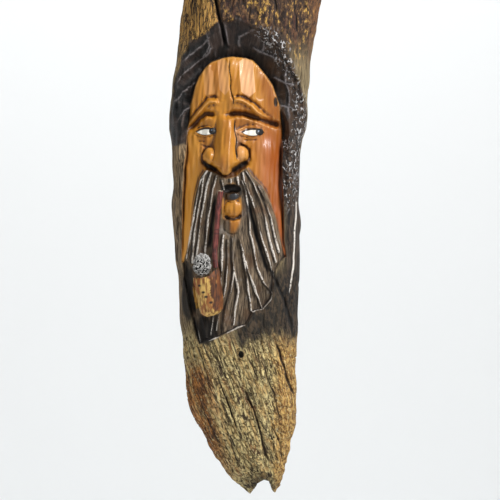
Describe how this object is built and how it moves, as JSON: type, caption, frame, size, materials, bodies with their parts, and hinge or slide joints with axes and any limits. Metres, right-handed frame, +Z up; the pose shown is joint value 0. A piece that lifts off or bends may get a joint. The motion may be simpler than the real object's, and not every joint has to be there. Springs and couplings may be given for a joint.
{
  "type": "tree face sculpture",
  "caption": "Bearded tree-spirit face with a pipe, carved in a weathered split limb that hangs with its flat sawn back on a wall.",
  "frame": {"origin": "hanging point on the flat sawn back, behind the wood just above the hood", "axes": "+Z up along the limb, +Y out of the flat back into the wall, the carved face looks along -Y"},
  "size_m": [0.151, 0.0737, 0.534],
  "materials": {
    "weathered_wood": "old split limb, varnished on the carved face and scorched in the hollow round it",
    "red_twig": "smooth reddish twig bark",
    "peeled_twig": "half peeled twig with dark bark left on one side",
    "grey_fibre": "matted grey fibres like ash"
  },
  "bodies": {
    "root": {"carved_limb": "weathered_wood", "pipe_stem": "red_twig", "pipe_bowl": "peeled_twig", "ash_tuft": "grey_fibre"}
  },
  "joints": []
}
